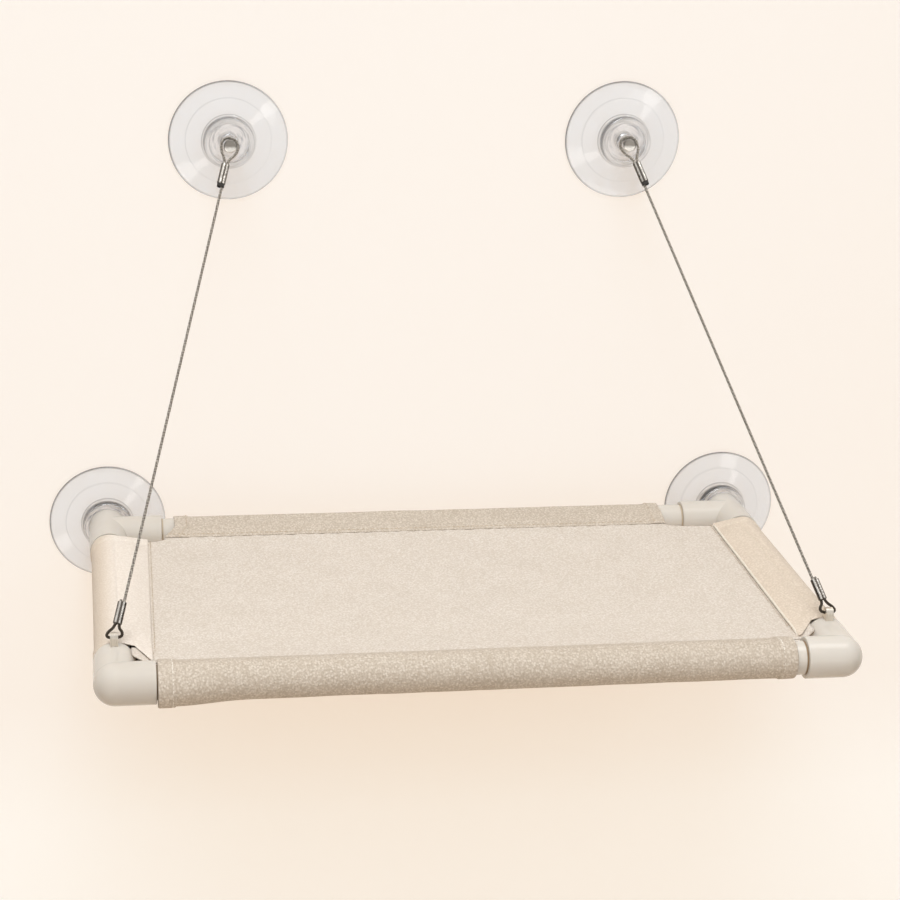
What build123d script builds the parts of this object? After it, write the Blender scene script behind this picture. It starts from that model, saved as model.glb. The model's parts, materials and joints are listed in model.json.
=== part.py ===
from build123d import *
import os
from math import acos, atan2, cos, hypot, radians, sin, sqrt, tan

# Window mounted cat perch. Origin on the window plane, midway between the lower cups.
# +Y points into the window, +X to the right, +Z up. Millimetres.

# Frame of pipes: axes of the four rails lie in the plane z = 0
side_axis_x = 280.0        # left and right rail axes, from the middle
rail_depth = 325.0         # rear rail axis to front rail axis
rear_axis_gap = 38.0       # rear rail axis to the window
pipe_od = 26.7
pipe_bore = 20.9

# Fittings: two front elbows and two rear tees
fitting_od = 33.0          # front arms with their domes, and the tees' straight runs
side_arm_od = 32.4         # arms that grow out of the side of another arm
socket_stop = 15.0         # pipe end to the crossing of the axes
elbow_front_arm = 30.0     # crossing to the rim on the front rail
elbow_side_arm = 42.0      # crossing to the rim on the side rail
tee_branch_arm = 46.0      # crossing to the rim on the rear rail
tee_front_arm = 40.0       # crossing to the rim on the side rail
rim_round = 0.8
fit_gap = 0.05             # radial room of a pushed or pressed fit
running_gap = 0.06         # radial room of the sliding stud
free_gap = 0.3             # room between pieces that pass each other
overrun = 2.0              # how far a cutter runs past what it cuts

# Suction cups, all four from one mould: radius and height above the glass
cup_radius = 51.0
seal_width = 6.0
lip_height = 1.7
dish_height = 3.0
ring_radius = 36.5
ring_height = 4.4
hub_radius = 21.5
shoulder_height = 8.6
hub_height = 19.0
well_depth = 8.0
boss_radius = 7.6
stud_floor_height = 8.0
cup_edge_round = 0.7
shoulder_round = 4.0
hub_round = 1.4
well_round = 0.8

# Upper cups and their pegs
upper_cup_x = 172.0
upper_cup_height = 341.0   # upper cup axis above the rail plane
stud_radius = 3.6
peg_head_radius = 5.6
peg_head_length = 3.4
peg_head_round = 1.2

# Lower studs and the plugs that hold them in the tees
stud_reach = 23.0          # stud length in front of the hub face
stud_tip_round = 0.8
plug_head_length = 13.0
plug_nose_radius = 7.0
plug_nose_length = 12.0

# Cable eyes on the elbows
eye_setback = 5.0          # eye axis to the elbow rim
eye_width = 6.0
eye_radius = 4.4
eye_height = 5.6           # hole axis above the fitting
eye_shank_radius = 2.6
shank_room = 0.1           # shank end to the pipe's socket

# Wire rope and its crimped ferrules
wire_diameter = 2.4
strand_spacing = 2.6       # between the two strands in a ferrule
lower_ferrule_length = 18.0
upper_ferrule_length = 20.0
ferrule_wall = 1.0
ferrule_round = 0.5
lower_ferrule_start = 11.5 # from the eye axis, along the cable
upper_ferrule_start = 19.2 # from the peg axis, along the cable
collar_length = 3.2        # rubber collar under each upper ferrule
collar_wall = 0.65

# Cable route, chosen by hand: across and along the cable, from the eye and from the peg
tail_run = 31.1
lower_loop = [(6.2, 4.4), (5.6, 0.0), (-5.6, 0.0), (-5.6, 4.4)]
lower_meet = 8.6
upper_loop = [(-6.8, -7.0), (-7.6, 1.5), (-3.9, 6.9), (3.9, 6.9), (7.6, 1.5), (6.8, -7.0)]
upper_meet = 15.0
upper_tail_run = 40.8
arc_share = 0.45           # share of the shorter run that an arc takes

# Fabric sling
cloth = 0.85
sleeve_gap = 0.1
panel_thickness = 1.2
panel_height = 8.0         # middle of the panel above the rail plane
side_seam_inset = 30.0     # side rail axis to the side seam
front_seam_inset = 18.5
rear_seam_inset = 34.0
hem_width = 12.0
hem_cloth = 0.8
side_sleeve_gap = 2.0      # bare pipe beside the fittings on the side rails
front_bare_left = 1.5
front_bare_right = 9.5
rear_bare_left = 11.0
rear_bare_right = 22.0
piping_diameter = 2.6
panel_corner = 7.0

# Values worked out from the sizes above
pipe_radius = pipe_od / 2
fitting_radius = fitting_od / 2
side_arm_radius = side_arm_od / 2
socket_radius = pipe_radius + fit_gap
wire_radius = wire_diameter / 2
rear_y = -rear_axis_gap
front_y = rear_y - rail_depth
sleeve_inner = pipe_radius + sleeve_gap
sleeve_outer = sleeve_inner + cloth
eye_y = front_y + elbow_side_arm - eye_setback
eye_z = side_arm_radius + eye_height
well_radius = fitting_radius + free_gap
BASE = (Align.CENTER, Align.CENTER, Align.MIN)


def rod(start, end, radius):
    run = Vector(*end) - Vector(*start)
    return Plane(origin=start, z_dir=run) * Cylinder(radius, run.length, align=BASE)


def rounded_rod(start, end, radius, rounding):
    body = rod(start, end, radius)
    run = Vector(*end) - Vector(*start)
    rims = body.edges().filter_by(GeomType.CIRCLE).sort_by(Axis(start, run))
    return fillet(rims[-1], rounding)


# Rails
def rail(start, end):
    run = (Vector(*end) - Vector(*start)).normalized()
    bore_start = Vector(*start) - run * overrun
    bore_end = Vector(*end) + run * overrun
    return rod(start, end, pipe_radius) - rod(bore_start, bore_end, pipe_bore / 2)


def side_rail(side):
    x = side * side_axis_x
    return rail((x, front_y + socket_stop, 0), (x, rear_y - socket_stop, 0))


def cross_rail(y):
    x = side_axis_x - socket_stop
    return rail((-x, y, 0), (x, y, 0))


# Fittings: alike above and below, so the left ones turned over are the right ones
def handed(piece, side):
    return piece if side < 0 else piece.rotate(Axis.Y, 180)


def left_elbow():
    x = -side_axis_x
    front_rim = x + elbow_front_arm
    side_rim = front_y + elbow_side_arm
    corner = (x, front_y, 0)
    front_arm = rounded_rod(corner, (front_rim, front_y, 0), fitting_radius, rim_round)
    side_arm = rounded_rod(corner, (x, side_rim, 0), side_arm_radius, rim_round)
    outside = front_arm + side_arm + Pos(*corner) * Sphere(fitting_radius)
    x_stop = x + socket_stop
    y_stop = front_y + socket_stop
    passage = rod(corner, (x_stop + overrun, front_y, 0), pipe_bore / 2)
    passage += rod(corner, (x, y_stop + overrun, 0), pipe_bore / 2)
    passage += Pos(*corner) * Sphere(pipe_bore / 2)
    front_socket = rod((x_stop, front_y, 0), (front_rim + overrun, front_y, 0), socket_radius)
    side_socket = rod((x, y_stop, 0), (x, side_rim + overrun, 0), socket_radius)
    return outside - passage - front_socket - side_socket


def shank_hole(side):
    x = side * side_axis_x
    top = side_arm_radius + overrun
    return rod((x, eye_y, 0), (x, eye_y, top), eye_shank_radius + fit_gap)


def left_tee():
    x = -side_axis_x
    branch_rim = x + tee_branch_arm
    front_rim = rear_y - tee_front_arm
    rear_rim = -(hub_height - well_depth + free_gap)
    middle = (x, rear_y, 0)
    outside = rod((x, front_rim, 0), (x, rear_rim, 0), fitting_radius)
    outside = fillet(outside.edges().filter_by(GeomType.CIRCLE), rim_round)
    outside += rounded_rod(middle, (branch_rim, rear_y, 0), side_arm_radius, rim_round)
    x_stop = x + socket_stop
    front_stop = rear_y - socket_stop
    plug_stop = -(hub_height + free_gap + plug_head_length)
    passage = rod((x, front_stop - overrun, 0), (x, plug_stop + overrun, 0), pipe_bore / 2)
    passage += rod(middle, (x_stop + overrun, rear_y, 0), pipe_bore / 2)
    branch_socket = rod((x_stop, rear_y, 0), (branch_rim + overrun, rear_y, 0), socket_radius)
    front_socket = rod((x, front_stop, 0), (x, front_rim - overrun, 0), socket_radius)
    rear_socket = rod((x, plug_stop, 0), (x, rear_rim + overrun, 0), socket_radius)
    return outside - passage - branch_socket - front_socket - rear_socket


def plug(side):
    x = side * side_axis_x
    back = -(hub_height + free_gap)
    front = back - plug_head_length
    body = rod((x, back, 0), (x, front, 0), pipe_radius)
    body += rod((x, front + overrun, 0), (x, front - plug_nose_length, 0), plug_nose_radius)
    bore_end = front - plug_nose_length - overrun
    return body - rod((x, back + overrun, 0), (x, bore_end, 0), stud_radius + running_gap)


def cable_eye(side):
    x = side * side_axis_x
    half = eye_width / 2
    lug = rod((x - half, eye_y, eye_z), (x + half, eye_y, eye_z), eye_radius)
    foot = Pos(x, eye_y, eye_z / 2) * Box(eye_width, 2 * eye_radius, eye_z)
    body = lug + foot
    body -= rod((x, front_y, 0), (x, rear_y, 0), side_arm_radius)
    shank_top = side_arm_radius + wire_radius
    shank_base = socket_radius + shank_room
    body += rod((x, eye_y, shank_base), (x, eye_y, shank_top), eye_shank_radius)
    reach = half + overrun
    hole = rod((x - reach, eye_y, eye_z), (x + reach, eye_y, eye_z), wire_radius + free_gap)
    return body - hole


# Suction cups and what they carry
def suction_cup(x, z):
    seal_radius = cup_radius - seal_width
    floor_height = hub_height - well_depth
    bore = stud_radius + fit_gap
    corners = [
        (seal_radius, 0),
        (cup_radius, 0),
        (cup_radius, -lip_height),
        (ring_radius, -ring_height),
        (hub_radius, -shoulder_height),
        (hub_radius, -hub_height),
        (well_radius, -hub_height),
        (well_radius, -floor_height),
        (boss_radius, -floor_height),
        (boss_radius, -hub_height),
        (bore, -hub_height),
    ]
    rounds = [
        cup_edge_round,
        cup_edge_round,
        shoulder_round,
        shoulder_round,
        hub_round,
        hub_round,
        well_round,
        well_round,
        well_round,
    ]
    outside = FilletPolyline(*corners, radius=rounds)
    bore_line = Polyline(
        (bore, -hub_height),
        (bore, -stud_floor_height),
        (0, -stud_floor_height),
        (0, -dish_height),
    )
    mid_radius = seal_radius / sqrt(2)
    mid_height = dish_height / 2
    dish = ThreePointArc((0, -dish_height), (mid_radius, -mid_height), (seal_radius, 0))
    profile = make_face([*outside.edges(), *bore_line.edges(), dish.edge()])
    return Pos(x, 0, z) * revolve(profile, Axis.Y)


def peg(x, z, head_back, head_front):
    shaft = rod((x, -stud_floor_height, z), (x, head_back, z), stud_radius)
    head = rod((x, head_back, z), (x, head_front, z), peg_head_radius)
    head = fillet(head.edges().filter_by(GeomType.CIRCLE), peg_head_round)
    return shaft + head


def stud(side):
    x = side * side_axis_x
    tip = -(hub_height + stud_reach)
    body = rod((x, -stud_floor_height, 0), (x, tip, 0), stud_radius)
    return fillet(body.edges().sort_by(Axis.Y)[0], stud_tip_round)


# Wire rope: each cable runs from its eye to its peg, with a loop and a ferrule at both ends
class Cable:
    def __init__(self, side):
        self.outward = Vector(side, 0, 0)
        self.eye = Vector(side * side_axis_x, eye_y, eye_z)
        foot = Vector(side * upper_cup_x, -hub_height, upper_cup_height)
        lean = (foot - self.eye).normalized()
        loop_top = (stud_radius + wire_radius + free_gap) / hypot(lean.X, lean.Z)
        stand = loop_top * lean.Y + wire_radius + 2 * free_gap
        self.peg = foot - Vector(0, stand, 0)
        self.along = (self.peg - self.eye).normalized()
        square = self.outward - self.along * self.along.dot(self.outward)
        self.beside_low = square.normalized()
        self.beside_top = self.along.cross(Vector(0, -side, 0)).normalized()
        self.head_back = self.peg.Y - wire_radius - 4 * free_gap

    def low(self, across, along):
        return self.eye + self.outward * across + self.along * along

    def low_strand(self, beside, along):
        return self.eye + self.beside_low * beside + self.along * along

    def top(self, beside, along):
        return self.peg + self.beside_top * beside + self.along * along

    def route(self):
        half = strand_spacing / 2
        points = [self.low_strand(half, tail_run), self.low_strand(half, lower_meet)]
        points += [self.low(*place) for place in lower_loop]
        points += [self.low_strand(-half, lower_meet), self.top(-half, -upper_meet)]
        points += [self.top(*place) for place in upper_loop]
        points += [self.top(half, -upper_meet), self.top(half, -upper_tail_run)]
        return points


def bend_radii(points):
    radii = []
    for before, corner, after in zip(points, points[1:], points[2:]):
        run_in = corner - before
        run_out = after - corner
        turn = radians(run_in.get_angle(run_out))
        shorter = min(run_in.length, run_out.length)
        radii.append(arc_share * shorter / tan(turn / 2))
    return radii


def wire_rope(name, cable):
    points = cable.route()
    radii = bend_radii(points)
    path = FilletPolyline(*points, radius=radii)
    section = Plane(origin=path @ 0, z_dir=path % 0) * Circle(wire_radius)
    rope = sweep(section, path)
    expected = section.area * path.length
    share = rope.volume / expected
    print(name, "length", round(path.length, 1), "volume over section times length", round(share, 4))
    print(name, "bend radii", [round(radius, 1) for radius in radii])
    return rope


def strand_sleeve(start, beside, along, length, wall):
    width = strand_spacing + 2 * (wire_radius + wall)
    height = 2 * (wire_radius + wall)
    face = Plane(origin=start, x_dir=beside, z_dir=along) * SlotOverall(width, height)
    body = extrude(face, length)
    ends = body.faces().sort_by(Axis(start, along))
    body = fillet(ends[0].edges() + ends[-1].edges(), ferrule_round)
    for offset in (-strand_spacing / 2, strand_spacing / 2):
        strand = start + beside * offset
        strand_start = strand - along * overrun
        strand_end = strand + along * (length + overrun)
        body -= rod(strand_start, strand_end, wire_radius + fit_gap)
    return body


def lower_ferrule(cable):
    start = cable.low_strand(0, lower_ferrule_start)
    return strand_sleeve(start, cable.beside_low, cable.along, lower_ferrule_length, ferrule_wall)


def upper_ferrule(cable):
    start = cable.top(0, -upper_ferrule_start)
    return strand_sleeve(start, cable.beside_top, -cable.along, upper_ferrule_length, ferrule_wall)


def upper_collar(cable):
    ferrule_end = upper_ferrule_start + upper_ferrule_length
    start = cable.top(0, -ferrule_end - fit_gap)
    return strand_sleeve(start, cable.beside_top, -cable.along, collar_length, collar_wall)


# Fabric: each sleeve is a drop round its rail, drawn out to the seam where the panel starts
def drop_face(radius, reach, height):
    distance = hypot(reach, height)
    toward = atan2(height, reach)
    spread = acos(radius / distance)
    upper = (radius * cos(toward + spread), radius * sin(toward + spread))
    lower = (radius * cos(toward - spread), radius * sin(toward - spread))
    return Circle(radius) + make_face(Polyline((reach, height), upper, lower, close=True))


def outer_drop(radius, seam_inset):
    slope = panel_height / seam_inset
    narrowing = radius / hypot(seam_inset, panel_height)
    tip = seam_inset + cloth * sqrt(1 - narrowing ** 2) / narrowing
    return drop_face(radius, tip, tip * slope)


def sleeve_section(seam_inset):
    slope = panel_height / seam_inset
    inner_tip = seam_inset - 2 * cloth
    inner = drop_face(sleeve_inner, inner_tip, inner_tip * slope)
    return outer_drop(sleeve_outer, seam_inset) - inner


def hem_section(seam_inset):
    return outer_drop(sleeve_outer + hem_cloth, seam_inset) - outer_drop(sleeve_outer, seam_inset)


def sleeve(start, inward, seam_inset, length):
    inward = Vector(*inward)
    plane = Plane(origin=start, x_dir=inward, z_dir=inward.cross(Vector(0, 0, 1)))
    body = extrude(plane * sleeve_section(seam_inset), length)
    hem = extrude(plane * hem_section(seam_inset), hem_width)
    far_hem = Pos(*(plane.z_dir * (length - hem_width))) * hem
    beyond = plane.offset(-overrun) * Pos(seam_inset, 0) * Rectangle(
        seam_inset, 4 * sleeve_outer, align=(Align.MIN, Align.CENTER))
    return body + hem + far_hem - extrude(beyond, length + 2 * overrun)


side_sleeve_front = front_y + elbow_side_arm + side_sleeve_gap
side_sleeve_rear = rear_y - tee_front_arm - side_sleeve_gap
elbow_rim_x = side_axis_x - elbow_front_arm
rear_left_end = side_axis_x - tee_branch_arm - rear_bare_left
rear_right_end = side_axis_x - tee_branch_arm - rear_bare_right


def side_sleeve(side):
    start_y = side_sleeve_front if side > 0 else side_sleeve_rear
    length = side_sleeve_rear - side_sleeve_front
    start = (side * side_axis_x, start_y, 0)
    return sleeve(start, (-side, 0, 0), side_seam_inset, length)


def front_sleeve():
    left = -elbow_rim_x + front_bare_left
    right = elbow_rim_x - front_bare_right
    return sleeve((left, front_y, 0), (0, 1, 0), front_seam_inset, right - left)


def rear_sleeve():
    start = (rear_right_end, rear_y, 0)
    length = rear_left_end + rear_right_end
    return sleeve(start, (0, -1, 0), rear_seam_inset, length)


seam_x = side_axis_x - side_seam_inset
front_seam_y = front_y + front_seam_inset
rear_seam_y = rear_y - rear_seam_inset
panel_front_corner_y = front_seam_y + front_bare_right
panel_tab_x = side_axis_x - side_arm_radius - side_sleeve_gap


def sling_panel():
    outline = Polyline(
        (-seam_x, side_sleeve_rear),
        (-rear_left_end, side_sleeve_rear),
        (-rear_left_end, rear_seam_y),
        (rear_right_end, rear_seam_y),
        (rear_right_end, side_sleeve_rear),
        (seam_x, side_sleeve_rear),
        (seam_x, side_sleeve_front),
        (panel_tab_x, side_sleeve_front),
        (panel_tab_x, panel_front_corner_y),
        (elbow_rim_x - front_bare_right, front_seam_y),
        (front_bare_left - elbow_rim_x, front_seam_y),
        (-panel_tab_x, panel_front_corner_y),
        (-panel_tab_x, side_sleeve_front),
        (-seam_x, side_sleeve_front),
        close=True,
    )
    face = make_face(outline)
    notch = [corner for corner in face.vertices()
             if abs(corner.Y - side_sleeve_rear) < cloth and abs(corner.X) < seam_x - cloth]
    face = fillet(notch, panel_corner)
    return extrude(Pos(0, 0, panel_height - panel_thickness / 2) * face, panel_thickness)


def piping(side):
    x = side * seam_x
    radius = piping_diameter / 2
    z = panel_height + cloth + radius + sleeve_gap
    return rod((x, panel_front_corner_y, z), (x, side_sleeve_rear, z), radius)


# The whole perch, piece by piece
pieces = {
    "front_rail": cross_rail(front_y),
    "rear_rail": cross_rail(rear_y),
    "sling_panel": sling_panel(),
    "front_sleeve": front_sleeve(),
    "rear_sleeve": rear_sleeve(),
}
for name, side in (("left", -1), ("right", 1)):
    cable = Cable(side)
    cup_x = side * upper_cup_x
    head_front = cable.head_back - peg_head_length
    pieces[name + "_rail"] = side_rail(side)
    pieces["front_" + name + "_elbow"] = handed(left_elbow(), side) - shank_hole(side)
    pieces["rear_" + name + "_tee"] = handed(left_tee(), side)
    pieces["rear_" + name + "_plug"] = plug(side)
    pieces[name + "_cable_eye"] = cable_eye(side)
    pieces[name + "_sleeve"] = side_sleeve(side)
    pieces[name + "_piping"] = piping(side)
    pieces["lower_" + name + "_cup"] = suction_cup(side * side_axis_x, 0)
    pieces["lower_" + name + "_stud"] = stud(side)
    pieces["upper_" + name + "_cup"] = suction_cup(cup_x, upper_cup_height)
    pieces["upper_" + name + "_peg"] = peg(cup_x, upper_cup_height, cable.head_back, head_front)
    pieces[name + "_cable"] = wire_rope(name + "_cable", cable)
    pieces[name + "_lower_ferrule"] = lower_ferrule(cable)
    pieces[name + "_upper_ferrule"] = upper_ferrule(cable)
    pieces[name + "_upper_collar"] = upper_collar(cable)
    print(name, "eye", cable.eye, "peg", cable.peg, "along", cable.along)

os.makedirs("parts", exist_ok=True)
for name, piece in pieces.items():
    export_step(piece, f"parts/{name}.step")
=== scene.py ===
import json
from math import acos, atan2, cos, exp, hypot, pi, sin, sqrt, tau

import bpy
from mathutils import Matrix, Vector
from mathutils.noise import noise as ripple


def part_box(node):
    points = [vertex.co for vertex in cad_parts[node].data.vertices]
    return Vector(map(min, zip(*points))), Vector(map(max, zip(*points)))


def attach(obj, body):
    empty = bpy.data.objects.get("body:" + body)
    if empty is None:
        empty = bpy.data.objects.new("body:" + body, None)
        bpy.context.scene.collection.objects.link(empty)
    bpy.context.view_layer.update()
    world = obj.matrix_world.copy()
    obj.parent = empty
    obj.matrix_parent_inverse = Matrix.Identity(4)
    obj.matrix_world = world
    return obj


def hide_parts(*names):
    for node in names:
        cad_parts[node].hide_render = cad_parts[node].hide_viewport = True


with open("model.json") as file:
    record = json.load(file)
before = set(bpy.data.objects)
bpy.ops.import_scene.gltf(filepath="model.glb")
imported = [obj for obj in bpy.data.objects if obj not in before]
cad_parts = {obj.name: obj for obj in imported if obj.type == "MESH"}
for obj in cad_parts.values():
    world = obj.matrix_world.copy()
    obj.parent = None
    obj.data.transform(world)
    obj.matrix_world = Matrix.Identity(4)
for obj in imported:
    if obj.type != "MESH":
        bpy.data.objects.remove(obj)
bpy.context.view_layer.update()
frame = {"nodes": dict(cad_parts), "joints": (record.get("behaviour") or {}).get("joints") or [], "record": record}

MM = 0.001
X, Y, Z = range(3)
SIDES = (("left", -1), ("right", 1))
nodes = frame["nodes"]
joints = {joint["name"]: joint for joint in frame["joints"]}


def cad_span(name, axis):
    """The lowest and highest place of a CAD node along an axis, to the micrometre."""
    return [round(corner[axis], 6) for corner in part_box(name)]


def cad_middle(name, axis):
    return sum(cad_span(name, axis)) / 2


# Axes of the rails; the lower cups lie on those of the side rails
RAIL_X = cad_middle("right_rail", X)
FRONT_Y, REAR_Y = cad_middle("front_rail", Y), cad_middle("rear_rail", Y)


def linked(name, data):
    made = bpy.data.objects.new(name, data)
    bpy.context.scene.collection.objects.link(made)
    return made


def plain_mesh(source):
    """What an object shows, with its modifiers or as the tube of its curve, as a plain mesh."""
    bpy.context.view_layer.update()
    return bpy.data.meshes.new_from_object(source.evaluated_get(bpy.context.evaluated_depsgraph_get()))


# Camera, where the photograph was taken from
CAMERA_PLACE = Vector((-0.2973, -1.9485, 0.6899))
CAMERA_YAW, CAMERA_PITCH, CAMERA_ROLL = 0.16492, -0.30928, 0.02734  # radians
CAMERA_LENS, CAMERA_SENSOR = 91.83, 36.0  # millimetres


def add_camera():
    level_share = cos(CAMERA_PITCH)
    ahead = Vector((sin(CAMERA_YAW) * level_share, cos(CAMERA_YAW) * level_share, sin(CAMERA_PITCH)))
    level = Vector((cos(CAMERA_YAW), -sin(CAMERA_YAW), 0))
    upright = level.cross(ahead)
    right = level * cos(CAMERA_ROLL) + upright * sin(CAMERA_ROLL)
    up = upright * cos(CAMERA_ROLL) - level * sin(CAMERA_ROLL)
    data = bpy.data.cameras.new("camera")
    data.lens, data.sensor_width = CAMERA_LENS, CAMERA_SENSOR
    camera = linked("camera", data)
    turn = Matrix((right, up, -ahead)).transposed()
    camera.matrix_world = Matrix.Translation(CAMERA_PLACE) @ turn.to_4x4()
    bpy.context.scene.camera = camera


add_camera()


# Cords: the points of each cable's route, across and along the cable, as the frame has them
WIRE_DIAMETER = 2.4 * MM
RUN_SPACING = 2.6 * MM  # between the two runs of wire in a ferrule
TAIL_RUN, LOWER_MEET = 31.1 * MM, 8.6 * MM
LOWER_LOOP = [(6.2, 4.4), (5.6, 0.0), (-5.6, 0.0), (-5.6, 4.4)]
UPPER_LOOP = [(-6.8, -7.0), (-7.6, 1.5), (-3.9, 6.9), (3.9, 6.9), (7.6, 1.5), (6.8, -7.0)]
UPPER_MEET, UPPER_TAIL_RUN = 15.0 * MM, 40.8 * MM
LONG_RUN_STEP = 6 * WIRE_DIAMETER  # from a ferrule's corner into the long run
TAIL_STEP = 9.5 * MM  # from a ferrule's corner into a tail
ROUTE_STEPS = 24


def cable_axes(side, sign):
    """The eye and the peg, the way from one to the other, and how the two runs lie apart at each."""
    eye = Vector(joints[side + "_cable_swing"]["pos_m"])
    peg = Vector(joints["upper_" + side + "_cup_spin"]["pos_m"])
    along = (peg - eye).normalized()
    outward = Vector((sign, 0, 0))
    beside_eye = (outward - along * along.dot(outward)).normalized()
    beside_peg = along.cross(Vector((0, -sign, 0))).normalized()
    return eye, peg, along, beside_eye, beside_peg


def cable_route(side, sign):
    eye, peg, along, beside_eye, beside_peg = cable_axes(side, sign)
    outward = Vector((sign, 0, 0))
    half = RUN_SPACING / 2
    points = [eye + beside_eye * half + along * run
              for run in (TAIL_RUN, LOWER_MEET + TAIL_STEP, LOWER_MEET)]
    points += [eye + outward * (across * MM) + along * (run * MM) for across, run in LOWER_LOOP]
    points += [eye - beside_eye * half + along * run
               for run in (LOWER_MEET, LOWER_MEET + LONG_RUN_STEP)]
    points += [peg - beside_peg * half - along * run
               for run in (UPPER_MEET + LONG_RUN_STEP, UPPER_MEET)]
    points += [peg + beside_peg * (across * MM) + along * (run * MM) for across, run in UPPER_LOOP]
    points += [peg + beside_peg * half - along * run
               for run in (UPPER_MEET, UPPER_MEET + TAIL_STEP, UPPER_TAIL_RUN)]
    return points


def spatial_curve(name, kind, points):
    curve = bpy.data.curves.new(name, "CURVE")
    curve.dimensions = "3D"
    spline = curve.splines.new(kind)
    spline.points.add(len(points) - 1)
    for target, point in zip(spline.points, points):
        target.co = (*point, 1)
    return curve, spline


def curve_mesh(name, curve):
    holder = linked(name, curve)
    mesh = plain_mesh(holder)
    bpy.data.objects.remove(holder)
    return mesh


def spline_line(name, points):
    """The points of a smooth spline through the route, as a mesh of edges."""
    curve, spline = spatial_curve(name, "NURBS", points)
    spline.order_u = 3
    spline.use_endpoint_u = True
    spline.resolution_u = ROUTE_STEPS
    return curve_mesh(name, curve)


# Node trees, for geometry and for materials
def put(tree, socket, value):
    """Gives a socket a value, or a link from another socket or from a node's first output."""
    if isinstance(value, bpy.types.Node):
        value = value.outputs[0]
    if isinstance(value, bpy.types.NodeSocket):
        tree.links.new(value, socket)
    else:
        socket.default_value = value


def node(tree, kind, inputs=(), **settings):
    """Adds a node; inputs pairs a socket's name or number with a value or another node's output."""
    made = tree.nodes.new(kind)
    for name, value in settings.items():
        setattr(made, name, value)
    for name, value in dict(inputs).items():
        put(tree, made.inputs[name], value)
    return made


def sums(tree, operation, *values):
    return node(tree, "ShaderNodeMath", enumerate(values), operation=operation)


def times(tree, first, second):
    return sums(tree, "MULTIPLY", first, second)


def vector_sums(tree, operation, first, second=None, scale=None):
    given = {name: value for name, value in ((0, first), (1, second), ("Scale", scale))
             if value is not None}
    made = node(tree, "ShaderNodeVectorMath", given, operation=operation)
    return made.outputs["Value" if operation == "DOT_PRODUCT" else "Vector"]


def geometry_tree(name, sizes):
    """A geometry tree with a mesh in, named sizes and a material, and a mesh out."""
    tree = bpy.data.node_groups.new(name, "GeometryNodeTree")
    for given, kind in (("Line", "Geometry"), *sizes, ("Finish", "Material")):
        tree.interface.new_socket(given, in_out="INPUT", socket_type="NodeSocket" + kind)
    tree.interface.new_socket("Mesh", in_out="OUTPUT", socket_type="NodeSocketGeometry")
    return tree, node(tree, "NodeGroupInput").outputs


def end_tree(tree, geometry, finish):
    real = node(tree, "GeometryNodeRealizeInstances", {"Geometry": geometry})
    smooth = node(tree, "GeometryNodeSetShadeSmooth", {"Geometry": real})
    dressed = node(tree, "GeometryNodeSetMaterial",
                   {"Geometry": smooth, "Material": finish})
    put(tree, node(tree, "NodeGroupOutput").inputs[0], dressed)


def grown(line, tree, values):
    """Runs a tree on a line's object and gives the result as a plain mesh in that object."""
    growth = line.modifiers.new("growth", "NODES")
    growth.node_group = tree
    for item in tree.interface.items_tree:
        if item.in_out == "INPUT" and item.name in values:
            growth[item.identifier] = values[item.name]
    mesh = plain_mesh(line)
    line.modifiers.remove(growth)
    line.data = mesh
    return line


# What the materials share
def paint(red, green, blue):
    """A colour given as it shows on screen, 0 to 255, as the shader takes it."""
    def level(value):
        share = value / 255
        return share / 12.92 if share <= 0.04045 else ((share + 0.055) / 1.055) ** 2.4
    return (level(red), level(green), level(blue), 1)


def material(name):
    made = bpy.data.materials.new(name)
    made.use_nodes = True
    tree = made.node_tree
    shader = tree.nodes["Principled BSDF"]
    return made, tree, shader


def place(tree, scale=1.0, coordinates="Object"):
    """Coordinates in metres times a scale, which may differ along the axes."""
    source = node(tree, "ShaderNodeTexCoord").outputs[coordinates]
    size = scale if isinstance(scale, tuple) else (scale,) * 3
    return node(tree, "ShaderNodeMapping", {"Vector": source, "Scale": size})


def axes_of(tree, vector):
    return node(tree, "ShaderNodeSeparateXYZ", {0: vector}).outputs


def noise(tree, vector, scale, detail=2.0, roughness=0.5):
    return node(tree, "ShaderNodeTexNoise", {
        "Vector": vector, "Scale": scale, "Detail": detail, "Roughness": roughness}).outputs["Fac"]


def between(tree, share, low, high, blend="MIX"):
    """Low and high values or colours, mixed by a share; another blend than MIX is for colours."""
    colours = blend != "MIX" or isinstance(low, tuple) or isinstance(high, tuple)
    made = node(tree, "ShaderNodeMix", data_type="RGBA" if colours else "FLOAT", blend_type=blend)
    sockets = [socket for socket in made.inputs if socket.enabled]
    for socket, value in zip(sockets, (share, low, high)):
        put(tree, socket, value)
    return next(socket for socket in made.outputs if socket.enabled)


def ramp(tree, value, low, high, at_low=0.0, at_high=1.0):
    return node(tree, "ShaderNodeMapRange", {
        "Value": value, "From Min": low, "From Max": high, "To Min": at_low, "To Max": at_high})


def patches(tree, vector, scale, detail=2.0, spread=0.2, roughness=0.5):
    """Noise drawn out from zero to one over a spread on either side of its middle."""
    return ramp(tree, noise(tree, vector, scale, detail, roughness), 0.5 - spread, 0.5 + spread)


def band(tree, value, middle, half, soft):
    """One inside a band of values, zero outside, with soft edges."""
    off = sums(tree, "ABSOLUTE", sums(tree, "SUBTRACT", value, middle))
    return ramp(tree, off, half + soft, half)


def colour_bands(tree, value, stops):
    """Colours along a value from zero to one; each stop is a value and its colour."""
    made = node(tree, "ShaderNodeValToRGB", {0: value})
    marks = made.color_ramp.elements
    marks[0].position, marks[0].color = stops[0]
    marks[1].position, marks[1].color = stops[-1]
    for at, colour in stops[1:-1]:
        mark = marks.new(at)
        mark.color = colour
    return made


def bumped(tree, shader, height, depth):
    bump = node(tree, "ShaderNodeBump", {"Height": height, "Distance": depth, "Strength": 1.0})
    put(tree, shader.inputs["Normal"], bump)


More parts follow.
